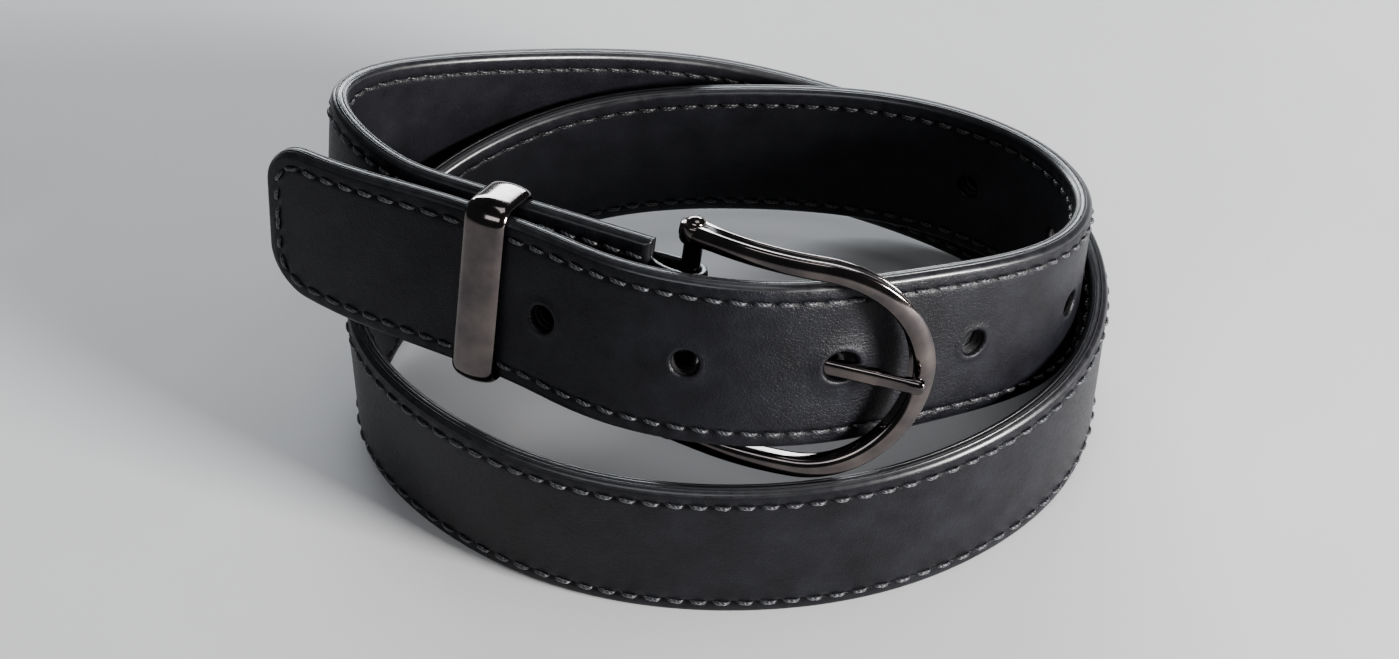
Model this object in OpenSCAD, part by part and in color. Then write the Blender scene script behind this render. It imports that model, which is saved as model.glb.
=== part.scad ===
// Gentlemen's dress belt, coiled one and a half turns and buckled.
// Three bonded leather layers, lockstitched rows along both margins, a sewn
// chape round the buckle bar, a sliding metal keeper and a single-prong buckle.

/* [Strap] */
// Width of the strap across its stitched face (mm)
strap_width = 30; // [26:0.5:36]
// Whole thickness of the three bonded layers (mm)
strap_thickness = 3.5; // [2.9:0.1:4.2]
// Length of the coil as it lies, left to right (mm)
coil_length = 148; // [144:1:180]
// Margin from the strap edge to each stitch row (mm)
stitch_margin = 3; // [2.4:0.2:4]

/* [Holes] */
// Diameter of the punched holes (mm)
hole_diameter = 4.5; // [3.6:0.1:5.4]
// Distance between neighbouring holes (mm)
hole_pitch = 26; // [25.5:0.1:26.5]
// Number of punched holes
hole_count = 7; // [5:1:7]

/* [Buckle] */
// Width of the frame rail seen from the front (mm)
rail_width = 3.4; // [2.8:0.1:4.1]
// Thickness of the frame rail from back to front (mm)
rail_depth = 3.5; // [3:0.1:4]
// Diameter of the bar the chape is folded round (mm)
bar_diameter = 3.2; // [2.6:0.1:3.4]
// Diameter of the prong at its root (mm)
prong_diameter = 2.8; // [2.3:0.1:3.1]

/* [Keeper] */
// Width of the metal keeper along the strap (mm)
keeper_width = 7.5; // [6:0.5:9]
// Wall of the metal keeper (mm)
keeper_wall = 1.3; // [1:0.1:1.7]

/* [Display] */
// Sub-part to draw

/* [Hidden] */
$fn = 64;

leather = [0.07, 0.07, 0.08];
filler  = [0.22, 0.17, 0.14];
thread  = [0.10, 0.10, 0.12];
metal   = [0.36, 0.33, 0.32];

// Run of the strap's grain face at mid-width: x, y, height, lean of the strap
// (top edge outward positive, degrees). It starts at the sewn end beside the
// bar, turns behind the tip, goes round the back, the low front turn, the back
// again, and ends at the tip in front. Heights are for a 30 mm strap.
ROUTE = [
  [12, -39.6, 50, -16],   [-2, -33.3, 50, -16],   [-16, -27, 50, -16],
  [-27, -22.05, 50, -16], [-36, -18, 50, -16],    [-44, -14, 50, -15],
  [-51, -6.5, 49.5, -12], [-57, 3, 49.5, -8],     [-58.5, 13, 48, -4],
  [-51, 27, 43, -4],      [-28, 42, 34, -3],      [2, 52, 26, 0],
  [30, 53, 18, 0],        [57, 43, 15, 0],        [77, 25, 15, 0],
  [83, -1, 15, 0],        [74, -29, 15, 0],       [45, -50, 15, 0],
  [12, -55, 15, 0],     [-16, -50, 15, 0],    [-39, -36, 15, 0],
  [-56, -15, 15, 0],      [-55, 8, 16, 0],        [-41, 29, 20, -2],
  [-14, 44, 23, -2],      [16, 46, 23, -1],       [46, 42, 24, 2],
  [70, 25, 27, 4],        [79, 2, 31, 2],         [70, -21, 38, -4],
  [46.5, -34.8, 45, -9.5], [20, -47.2, 51, -15.5], [-6, -42.5, 52, -16.5],
  [-19, -32.5, 51, -15],  [-27, -28, 51, -14],    [-36, -23.5, 51, -14],
  [-45, -19, 50.5, -12],  [-55.5, -13, 49.5, -9], [-67, -4.5, 49, -6],
  [-78.5, 4.5, 49, -4]];
ROUTE_WIDTH = 30;       // strap width the heights above belong to
ROUTE_LENGTH = 148;     // coil length the plan positions belong to
STEPS = 5;              // stations per route point

plan = coil_length / ROUTE_LENGTH;
rise = strap_width / ROUTE_WIDTH;
pts = [for (p = ROUTE) [p[0] * plan, p[1] * plan, p[2] * rise, p[3]]];
spans = len(pts) - 3;

// Smooth run through four neighbouring points, and its direction
function blend(i, t) = (pow(1 - t, 3) * pts[i]
    + (3 * pow(t, 3) - 6 * t * t + 4) * pts[i + 1]
    + (-3 * pow(t, 3) + 3 * t * t + 3 * t + 1) * pts[i + 2]
    + pow(t, 3) * pts[i + 3]) / 6;
function slope(i, t) = (-(1 - t) * (1 - t) * pts[i]
    + (3 * t * t - 4 * t) * pts[i + 1]
    + (-3 * t * t + 2 * t + 1) * pts[i + 2]
    + t * t * pts[i + 3]) / 2;
function unit(v) = v / norm(v);
function xyz(p) = [p[0], p[1], p[2]];
// Station: position, along the strap, up across its width, out of its face
function level_up(t) = unit(cross(unit(cross(t, [0, 0, 1])), t));
function level_out(t) = -unit(cross(t, [0, 0, 1]));
function station(i, t) = let (p = blend(i, t), a = unit(xyz(slope(i, t))),
    u = level_up(a), o = level_out(a), c = cos(p[3]), s = sin(p[3]))
    [xyz(p), a, u * c + o * s, o * c - u * s];
stations = [for (i = [0 : spans - 1]) for (k = [0 : STEPS - 1]) station(i, k / STEPS),
            station(spans - 1, 1)];
last = len(stations) - 1;

// Length from the sewn end to each station
chords = [for (i = [0 : last - 1]) norm(stations[i + 1][0] - stations[i][0])];
function sums(v, i = 0, total = 0) = i >= len(v) ? [total]
    : concat([total], sums(v, i + 1, total + v[i]));
lengths = sums(chords);
strap_length = lengths[last];
// Station at a length along the strap, between two listed ones
function at_length(s) = let (i = max([for (k = [0 : last - 1]) if (lengths[k] <= s) k]),
    f = (s - lengths[i]) / chords[i], a = stations[i], b = stations[i + 1])
    [a[0] * (1 - f) + b[0] * f, unit(a[1] * (1 - f) + b[1] * f),
     unit(a[2] * (1 - f) + b[2] * f), unit(a[3] * (1 - f) + b[3] * f)];

half = strap_width / 2;
face_layer = strap_thickness * 0.34;     // grain leather
lining_layer = strap_thickness * 0.29;   // lining leather
chamfer = 0.45;                          // burnished edge
row = half - stitch_margin;              // stitch row from mid-width
thread_half = 0.35;
thread_rise = 0.16;
thread_start = 3;                        // stations before the first stitch
thread_stop = 3;                         // stations left free at the tip

// The part stands on z = 0 with the middle of its plan box at the origin
edge_points = [for (s = stations) for (e = [-half, half]) for (d = [0, -strap_thickness])
    s[0] + s[2] * e + s[3] * d];
function middle(k) = (min([for (p = edge_points) p[k]]) + max([for (p = edge_points) p[k]])) / 2;
shift = [-middle(0), -middle(1), 0];

// Ribbon through the stations; each profile point is [across, out of the face]
module ribbon(profile, first = 0, final = last) {
    n = len(profile);
    m = final - first;
    points = [for (i = [first : final]) for (q = profile)
        stations[i][0] + stations[i][2] * q[0] + stations[i][3] * q[1]];
    sides = [for (i = [0 : m - 1]) for (j = [0 : n - 1])
        let (a = i * n + j, b = i * n + (j + 1) % n)
        each (profile[j][0] > profile[(j + 1) % n][0]
            ? [[a, b, b + n], [a, b + n, a + n]]
            : [[a, b, a + n], [b, b + n, a + n]])];
    polyhedron(points, concat(sides, [[for (j = [n - 1 : -1 : 0]) j]],
        [[for (j = [0 : n - 1]) m * n + j]]), convexity = 20);
}

// Local frame of a station: x up across the strap, y along it, z out of the face
module on_strap(s) {
    multmatrix([[s[2][0], s[1][0], s[3][0], s[0][0]],
                [s[2][1], s[1][1], s[3][1], s[0][1]],
                [s[2][2], s[1][2], s[3][2], s[0][2]]]) children();
}

// Chape and buckle hang on the sewn end
start = stations[0];
bar_back = 6.6 * plan;                   // bar centre beyond the sewn end
bar_depth = 2.2;                         // bar centre below the grain face
bar_r = bar_diameter / 2;
frame_swing = 15.2;                       // frame turned in from the sewn end
module at_bar() { on_strap(start) translate([0, -bar_back, -bar_depth]) children(); }
// Frame axes: x from bar to nose, y up along the bar, z out of the front
module in_frame() {
    at_bar() multmatrix([[0, 1, 0, 0],
        [-cos(frame_swing), 0, -sin(frame_swing), 0],
        [-sin(frame_swing), 0, cos(frame_swing), 0]]) children();
}

reach = 41.3 * plan;                     // bar centre to the outside of the nose
frame_half = half + 5;                   // frame from its middle to a rail's outside
arch = 5.7;                              // how far the frame bows outward
arch_r = reach * reach / (8 * arch) + arch / 2;
rail_end_r = 2.5;
groove_width = 1.2;
groove_depth = 0.8;
groove_start = 4;                        // plain part of the arm beside the bar
dome_r = 1.75;                           // domed ends of the bar
dome_inset = 0.6;

prong_r = prong_diameter / 2;
prong_tip_r = 1.15;
prong_eye_r = bar_r + 1.4;
prong_half = 1.9;
running = 0.08;                          // running clearance on the bar
prong_root = [0, 0.6];                   // [to the nose, out of the front]
// The prong rests just over the inner edge of the nose
rest_at = reach - rail_width;
rest_out = arch - arch_r + sqrt(pow(arch_r + rail_depth / 2, 2) - pow(rest_at - reach / 2, 2))
    + prong_tip_r + 0.35;
prong_end = [reach - 1.4, prong_root[1]
             + (rest_out - prong_root[1]) * (reach - 1.4) / rest_at];
prong_pitch = atan((prong_end[1] - prong_root[1]) / (prong_end[0] - prong_root[0]));
prong_length = norm(prong_end - prong_root);

keeper_at = 26.5 * plan;                 // keeper middle from the sewn end
front_face = 6.3 * plan;                 // front strap's face out from the back strap's
keeper_clear = 0.4;

chape_half = half - stitch_margin - 0.4; // clear of the stitch rows
chape_leather = strap_thickness - face_layer - lining_layer;
core_first = 8;                          // station where the filler begins
chape_inside = lengths[core_first] - 0.3; // leg held between the layers
chape_return = 19.5 * plan;              // leg sewn to the lining
prong_slot_half = 2.4;

first_hole = 57 * plan;                // first hole from the tip
over = 0.6;                              // cutters run this far past a face
prong_way = [0.4, 0.94];                 // part of the prong that passes the leather
prong_way_room = 0.35;
prong_way_lifts = [-0.5, 0.4, 1.3];
function hole_length(k) = strap_length - first_hole - k * hole_pitch * plan;

module holes() {
    for (k = [0 : hole_count - 1])
        on_strap(at_length(hole_length(k)))
            translate([0, 0, -strap_thickness - over])
                cylinder(d = hole_diameter, h = strap_thickness + 2 * over);
    // slanting way that the prong keeps open in the hole it is fastened through
    in_frame() for (lift = prong_way_lifts)
        translate([prong_root[0], 0, prong_root[1]]) rotate([0, 90 - prong_pitch, 0])
            translate([-lift, 0, prong_length * prong_way[0]])
                cylinder(r = prong_r + prong_way_room, h = prong_length * (prong_way[1] - prong_way[0]));
}

tip_corner = 8.5;                        // radius of the tip's two corners
tip_trim = 0.4;                          // cut off the end of the run to square it
corner_angles = [12 : 13.2 : 78];
module tip_corners() {
    r = tip_corner;
    side = half - r;
    on_strap(stations[last]) translate([0, -r - tip_trim, -strap_thickness - over])
        linear_extrude(strap_thickness + 2 * over) polygon(concat(
            [[half + 0.05, -1], [half + 3, -1], [half + 3, r + 3], [-half - 3, r + 3],
             [-half - 3, -1], [-half - 0.05, -1]],
            [for (a = corner_angles) [-side - r * cos(a), r * sin(a)]],
            [for (a = corner_angles) [side + r * cos(90 - a), r * sin(90 - a)]]));
}

module outer_leather() {
    color(leather) translate(shift) difference() {
        ribbon([[half - chamfer, 0], [row + thread_half, 0], [row - thread_half, 0],
                [-row + thread_half, 0], [-row - thread_half, 0], [-half + chamfer, 0],
                [-half, -chamfer], [-half, -face_layer], [half, -face_layer], [half, -chamfer]]);
        holes();
        tip_corners();
    }
}

module core_filler() {
    low = -strap_thickness + lining_layer;
    color(filler) translate(shift) difference() {
        // the chape's inner leg takes the filler's place at the sewn end
        ribbon([[half, -face_layer], [-half, -face_layer], [-half, low], [half, low]], core_first);
        holes();
        tip_corners();
    }
}

module lining() {
    low = -strap_thickness;
    color(leather) translate(shift) difference() {
        ribbon([[half, low + lining_layer], [-half, low + lining_layer], [-half, low + chamfer],
                [-half + chamfer, low], [-row - thread_half, low], [-row + thread_half, low],
                [row - thread_half, low], [row + thread_half, low], [half - chamfer, low],
                [half, low + chamfer]]);
        holes();
        tip_corners();
    }
}

module stitch_row(across, face) {
    z = face > 0 ? 0 : -strap_thickness;
    profile = face > 0
        ? [[across + thread_half, z], [across, z + thread_rise], [across - thread_half, z]]
        : [[across - thread_half, z], [across, z - thread_rise], [across + thread_half, z]];
    translate(shift) ribbon([profile[2], profile[1], profile[0]], thread_start, last - thread_stop);
}
module face_thread_upper() { color(thread) stitch_row(row, 1); }
module face_thread_lower() { color(thread) stitch_row(-row, 1); }
module lining_thread_upper() { color(thread) stitch_row(row, -1); }
module lining_thread_lower() { color(thread) stitch_row(-row, -1); }

fold_facet = 10;                         // degrees between points of the fold
module chape() {
    top = -face_layer;
    back = -strap_thickness;
    fold = (bar_r + running) / cos(fold_facet / 2);
    outer = fold + chape_leather;
    color(leather) translate(shift) on_strap(start)
        rotate([90, 0, 90]) translate([0, 0, -chape_half]) difference() {
            // inner leg, fold round the bar, and the leg sewn to the lining
            linear_extrude(chape_half * 2) polygon(concat(
                [[chape_inside, top], [0, top]],
                [for (a = [90 : fold_facet : 270]) [-bar_back + outer * cos(a), -bar_depth + outer * sin(a)]],
                [[0, back - chape_leather], [chape_return, back - chape_leather],
                 [chape_return, back], [0, back]],
                [for (a = [270 : -fold_facet : 90]) [-bar_back + fold * cos(a), -bar_depth + fold * sin(a)]],
                [[0, top - chape_leather], [chape_inside, top - chape_leather]]));
            translate([-bar_back - outer - 1, -bar_depth - outer - 2, chape_half - prong_slot_half])
                cube([bar_back + outer, outer * 2 + 4, prong_slot_half * 2]);
        }
}

// Seam round the chape's outer leg, on the side that faces into the coil
seam_inset = 1.5;
seam_width = 0.6;
seam_rise = 0.2;
seam_start = 3;
module chape_thread() {
    z = -strap_thickness - chape_leather - seam_rise;
    low = -chape_half + seam_inset;
    wide = -2 * low;
    color(thread) translate(shift) on_strap(start) {
        for (y = [seam_start, chape_return - seam_start - seam_width])
            translate([low, y, z]) cube([wide, seam_width, seam_rise]);
        for (x = [low, -low - seam_width])
            translate([x, seam_start, z]) cube([seam_width, chape_return - 2 * seam_start, seam_rise]);
    }
}

// Block with its four long edges rounded, lying along y
module rounded_tube(low, high, length, r) {
    translate([0, length / 2, 0]) rotate([90, 0, 0]) {
        translate([low[0] + r, low[1], 0]) cube([high[0] - low[0] - 2 * r, high[1] - low[1], length]);
        translate([low[0], low[1] + r, 0]) cube([high[0] - low[0], high[1] - low[1] - 2 * r, length]);
        for (x = [low[0] + r, high[0] - r]) for (z = [low[1] + r, high[1] - r])
            translate([x, z, 0]) cylinder(r = r, h = length);
    }
}
keeper_below = 1;                        // room under the straps' lower edges
keeper_above = 0.75;                     // room over their upper edges
keeper_inner_r = 1.7;
keeper_outer_r = 3;
module keeper() {
    low = [-half - keeper_below, -strap_thickness - keeper_clear];
    high = [half + keeper_above, front_face + keeper_clear];
    wall = [keeper_wall, keeper_wall];
    color(metal) translate(shift) on_strap(start) translate([0, keeper_at, 0]) difference() {
        rounded_tube(low - wall, high + wall, keeper_width, keeper_outer_r);
        rounded_tube(low, high, keeper_width + 2, keeper_inner_r);
    }
}

// Outline of the frame, from the bar to its round nose
module frame_outline(r, from = 0) {
    translate([from, -r]) square([reach - frame_half - from, r * 2]);
    intersection() {
        translate([reach - frame_half, 0]) circle(r);
        translate([reach - frame_half, -r - 1]) square([r + 2, r * 2 + 2]);
    }
}
module bowed_shell(depth) {
    translate([reach / 2, frame_half + 5, arch - arch_r]) rotate([90, 0, 0]) difference() {
        cylinder(r = arch_r + depth / 2, h = frame_half * 2 + 10, $fn = 128);
        translate([0, 0, -1]) cylinder(r = arch_r - depth / 2, h = frame_half * 2 + 12, $fn = 128);
    }
}
module buckle_frame() {
    inner = frame_half - rail_width;
    color(metal) translate(shift) in_frame() difference() {
        union() {
            intersection() {
                bowed_shell(rail_depth);
                translate([0, 0, -6]) linear_extrude(arch + 12) difference() {
                    frame_outline(frame_half);
                    frame_outline(inner, -1);
                }
            }
            for (side = [-1, 1])
                translate([0, side > 0 ? frame_half : -inner, 0]) rotate([90, 0, 0])
                    cylinder(r = rail_end_r, h = rail_width);
        }
        translate([0, frame_half + 1, 0]) rotate([90, 0, 0]) cylinder(r = bar_r, h = frame_half * 2 + 2);
        intersection() {
            bowed_shell(groove_width);
            translate([groove_start, -frame_half - 2, -6]) cube([reach - 8, frame_half * 2 + 4, arch + 12]);
            translate([0, 0, -6]) linear_extrude(arch + 12) difference() {
                frame_outline(frame_half + 1.5);
                frame_outline(frame_half - groove_depth, -1);
            }
        }
    }
}

module buckle_bar() {
    color(metal) translate(shift) in_frame() {
        translate([0, frame_half, 0]) rotate([90, 0, 0]) cylinder(r = bar_r, h = frame_half * 2);
        for (side = [-1, 1]) intersection() {
            translate([0, side * (frame_half - dome_inset), 0]) sphere(r = dome_r);
            translate([-3, side > 0 ? frame_half : -frame_half - 3, -3]) cube([6, 3, 6]);
        }
    }
}

module prong() {
    color(metal) translate(shift) in_frame() difference() {
        union() {
            translate([0, prong_half, 0]) rotate([90, 0, 0]) cylinder(r = prong_eye_r, h = prong_half * 2);
            translate([prong_root[0], 0, prong_root[1]]) rotate([0, 90 - prong_pitch, 0]) {
                cylinder(r1 = prong_r, r2 = prong_tip_r, h = prong_length);
                translate([0, 0, prong_length]) sphere(r = prong_tip_r);
            }
        }
        translate([0, prong_half + 1, 0]) rotate([90, 0, 0]) cylinder(r = bar_r + running, h = prong_half * 2 + 2);
    }
}

outer_leather();
core_filler();
lining();
face_thread_upper();
face_thread_lower();
lining_thread_upper();
lining_thread_lower();
chape();
chape_thread();
keeper();
buckle_frame();
buckle_bar();
prong();
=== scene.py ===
import math
import random

import bmesh
import bpy
import numpy as np
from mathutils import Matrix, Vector


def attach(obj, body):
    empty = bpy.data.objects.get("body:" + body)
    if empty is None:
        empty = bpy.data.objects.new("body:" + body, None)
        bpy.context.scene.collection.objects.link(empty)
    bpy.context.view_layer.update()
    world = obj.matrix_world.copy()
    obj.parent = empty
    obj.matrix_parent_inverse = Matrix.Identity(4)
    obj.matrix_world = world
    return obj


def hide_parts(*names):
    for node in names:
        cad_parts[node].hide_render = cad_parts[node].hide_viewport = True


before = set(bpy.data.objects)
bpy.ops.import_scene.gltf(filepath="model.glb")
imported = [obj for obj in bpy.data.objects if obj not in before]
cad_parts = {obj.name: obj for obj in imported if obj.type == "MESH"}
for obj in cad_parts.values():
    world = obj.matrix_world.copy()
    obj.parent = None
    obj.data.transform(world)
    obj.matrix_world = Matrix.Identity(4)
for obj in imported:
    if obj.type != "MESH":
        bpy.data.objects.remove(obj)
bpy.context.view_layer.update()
random.seed(7)
rng = np.random.default_rng(7)

MM = 0.001
HALF, THICK = 15.0, 3.5
FACE_LAYER, LINING_LAYER = 1.19, 1.015
R_EDGE = 1.15
PITCH = 4.0                          # of the stitches
STITCH_IN = 3                        # stitch line to edge
TIP_R = 8.5
FIRST_HOLE, HOLE_PITCH = 57, 26      # from the tip
BAR_BACK, BAR_IN, BAR_R = 6.6, 2.2, 1.6
KEEPER_AT = 26.5
CHAPE_HALF, CHAPE_SEAM = 11.6, 10.1

# ---------------------------------------------------------------- strap run
ROUTE = [
    (12, -39.6, 50, -16), (-2, -33.3, 50, -16), (-16, -27, 50, -16),
    (-27, -22.05, 50, -16), (-36, -18, 50, -16), (-44, -14, 50, -15),
    (-51, -6.5, 49.5, -12), (-57, 3, 49.5, -8), (-58.5, 13, 48, -4),
    (-51, 27, 43, -4), (-28, 42, 34, -3), (2, 52, 26, 0),
    (30, 53, 18, 0), (57, 43, 15, 0), (77, 25, 15, 0),
    (83, -1, 15, 0), (74, -29, 15, 0), (45, -50, 15, 0),
    (12, -55, 15, 0), (-16, -50, 15, 0), (-39, -36, 15, 0),
    (-56, -15, 15, 0), (-55, 8, 16, 0), (-41, 29, 20, -2),
    (-14, 44, 23, -2), (16, 46, 23, -1), (46, 42, 24, 2),
    (70, 25, 27, 4), (79, 2, 31, 2), (70, -21, 38, -4),
    (46.5, -34.8, 45, -9.5), (20, -47.2, 51, -15.5), (-6, -42.5, 52, -16.5),
    (-19, -32.5, 51, -15), (-27, -28, 51, -14), (-36, -23.5, 51, -14),
    (-45, -19, 50.5, -12), (-55.5, -13, 49.5, -9), (-67, -4.5, 49, -6),
    (-78.5, 4.5, 49, -4)]
PTS = np.array(ROUTE, float)
SPANS = len(PTS) - 3


def unit(v):
    return v / np.linalg.norm(v, axis=-1, keepdims=True)


def spline(u):
    """Grain-face position, along, up-across and outward directions at parameters u."""
    u = np.clip(np.asarray(u, float), 0, SPANS - 1e-9)
    i = u.astype(int)
    t = (u - i)[:, None]
    p0, p1, p2, p3 = PTS[i], PTS[i + 1], PTS[i + 2], PTS[i + 3]
    p = ((1 - t) ** 3 * p0 + (3 * t ** 3 - 6 * t * t + 4) * p1
         + (-3 * t ** 3 + 3 * t * t + 3 * t + 1) * p2 + t ** 3 * p3) / 6
    d = (-(1 - t) ** 2 * p0 + (3 * t * t - 4 * t) * p1
         + (-3 * t * t + 2 * t + 1) * p2 + t * t * p3) / 2
    a = unit(d[:, :3])
    side = unit(np.cross(a, np.array([0.0, 0.0, 1.0])))
    up = unit(np.cross(side, a))
    lean = np.radians(p[:, 3:4])
    w = up * np.cos(lean) - side * np.sin(lean)
    o = -side * np.cos(lean) - up * np.sin(lean)
    return p[:, :3], a, w, o


fine_u = np.linspace(0, SPANS, SPANS * 60 + 1)
fine_p = spline(fine_u)[0]
fine_s = np.concatenate([[0], np.cumsum(np.linalg.norm(np.diff(fine_p, axis=0), axis=1))])
LENGTH = fine_s[-1]
coarse = spline(np.linspace(0, SPANS, SPANS * 5 + 1))
corners = np.concatenate([coarse[0] + coarse[2] * e + coarse[3] * d
                          for e in (-HALF, HALF) for d in (0, -THICK)])
middle = (corners.min(0) + corners.max(0)) / 2
SHIFT = np.array([-middle[0], -middle[1], 0.0])


def run_at(s):
    return spline(np.interp(s, fine_s, fine_u))


def on_strap(s, w, o):
    """Points in metres for strap coordinates in mm: along, across, out of the grain face."""
    s, w, o = (np.asarray(x, float) for x in (s, w, o))
    p, a, wd, od = run_at(np.clip(s, 0, LENGTH))
    spill = (s - np.clip(s, 0, LENGTH))[:, None]
    return (p + a * spill + wd * w[:, None] + od * o[:, None] + SHIFT) * MM


P0, A0, W0, O0 = (x[0] for x in run_at(np.array([0.0])))
BAR = P0 - A0 * BAR_BACK - O0 * BAR_IN
SWING = math.radians(15.2)
NOSE = -A0 * math.cos(SWING) - O0 * math.sin(SWING)
FRONT = -A0 * math.sin(SWING) + O0 * math.cos(SWING)


def at_bar(a, b, c):
    """Points in metres for buckle coordinates in mm: to the nose, up the bar, out of the front."""
    q = np.stack([np.asarray(x, float) for x in (a, b, c)], -1)
    return (BAR + q[..., :1] * NOSE + q[..., 1:2] * W0 + q[..., 2:] * FRONT + SHIFT) * MM


def at_start(w, y, o):
    q = np.stack([np.asarray(x, float) for x in (w, y, o)], -1)
    return (P0 + q[..., :1] * W0 + q[..., 1:2] * A0 + q[..., 2:] * O0 + SHIFT) * MM


# ---------------------------------------------------------------- mesh making
def make(name, verts, faces, body, mats, mat_index=None, uvs=None, painted_shade=None, smooth=True):
    me = bpy.data.meshes.new(name)
    me.from_pydata([tuple(v) for v in verts], [], [tuple(int(i) for i in f) for f in faces])
    for m in mats:
        me.materials.append(m)
    if mat_index is not None:
        me.polygons.foreach_set("material_index", np.asarray(mat_index, np.int32))
    if smooth:
        me.polygons.foreach_set("use_smooth", np.ones(len(me.polygons), bool))
    loops = np.zeros(len(me.loops), np.int32)
    me.loops.foreach_get("vertex_index", loops)
    if uvs is not None:
        layer = me.uv_layers.new(name="run")
        layer.data.foreach_set("uv", np.asarray(uvs, np.float32)[loops].ravel())
    # The optional point attribute written here holds painted shade for the leather colour.
    if painted_shade is not None:
        at = me.attributes.new("painted_shade", "FLOAT", "POINT")
        at.data.foreach_set("value", np.asarray(painted_shade, np.float32))
    me.update()
    ob = bpy.data.objects.new(name, me)
    bpy.context.scene.collection.objects.link(ob)
    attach(ob, body)
    return ob


def fix_normals(ob, merge=None):
    """Turns every face outwards, after merging points closer than merge."""
    bm = bmesh.new()
    bm.from_mesh(ob.data)
    if merge:
        bmesh.ops.remove_doubles(bm, verts=bm.verts, dist=merge)
    bmesh.ops.recalc_face_normals(bm, faces=bm.faces)
    bm.to_mesh(ob.data)
    bm.free()


def sweep(name, rings, body, mats, closed=False):
    """Closed sections joined along a path; ends are capped unless the path closes."""
    rings = np.asarray(rings, float)
    n, m, _ = rings.shape
    verts = rings.reshape(-1, 3)
    faces = []
    for i in range(n if closed else n - 1):
        j = (i + 1) % n
        for k in range(m):
            l = (k + 1) % m
            faces.append((i * m + k, i * m + l, j * m + l, j * m + k))
    if not closed:
        faces.append(tuple(range(m - 1, -1, -1)))
        faces.append(tuple((n - 1) * m + k for k in range(m)))
    along = np.concatenate([[0], np.cumsum(np.linalg.norm(np.diff(rings.mean(1), axis=0), axis=1))])
    around = np.concatenate([[0], np.cumsum(np.linalg.norm(np.diff(rings[0], axis=0), axis=1))])
    uv = np.stack([np.repeat(along, m), np.tile(around, n)], -1) * 100
    return make(name, verts, faces, body, mats, uvs=uv)


def lathe(profile, turns=40):
    """Rings of a turned shape: profile is (radius, along the bar)."""
    th = np.linspace(0, 2 * math.pi, turns, endpoint=False)
    return [at_bar(r * np.cos(th), np.full(turns, y), r * np.sin(th)) for r, y in profile]


# ---------------------------------------------------------------- materials
def material(name, build):
    m = bpy.data.materials.new(name)
    m.use_nodes = True
    nt = m.node_tree
    bsdf = nt.nodes["Principled BSDF"]
    build(nt, bsdf)
    return m


def node(nt, kind, **values):
    n = nt.nodes.new(kind)
    for k, v in values.items():
        if k.startswith("in_"):
            n.inputs[k[3:].replace("_", " ")].default_value = v
        else:
            setattr(n, k, v)
    return n


def uv_coords(nt, scale, name="run"):
    uv = node(nt, "ShaderNodeUVMap", uv_map=name)
    mp = node(nt, "ShaderNodeMapping")
    mp.inputs["Scale"].default_value = scale
    nt.links.new(uv.outputs["UV"], mp.inputs["Vector"])
    return mp.outputs["Vector"]


def level(v):
    return v, v, v, 1


def ramp(nt, fac, stops):
    r = nt.nodes.new("ShaderNodeValToRGB")
    el = r.color_ramp.elements
    el[0].position, el[0].color = stops[0]
    el[1].position, el[1].color = stops[-1]
    for p, c in stops[1:-1]:
        e = el.new(p)
        e.color = c
    nt.links.new(fac, r.inputs["Fac"])
    return r.outputs["Color"]


def bump_chain(nt, bsdf, items):
    """items: (height output, strength, distance in metres)"""
    last = None
    for h, strength, dist in items:
        b = node(nt, "ShaderNodeBump")
        b.inputs["Strength"].default_value = strength
        b.inputs["Distance"].default_value = dist
        nt.links.new(h, b.inputs["Height"])
        if last is not None:
            nt.links.new(last, b.inputs["Normal"])
        last = b.outputs["Normal"]
    nt.links.new(last, bsdf.inputs["Normal"])


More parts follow.
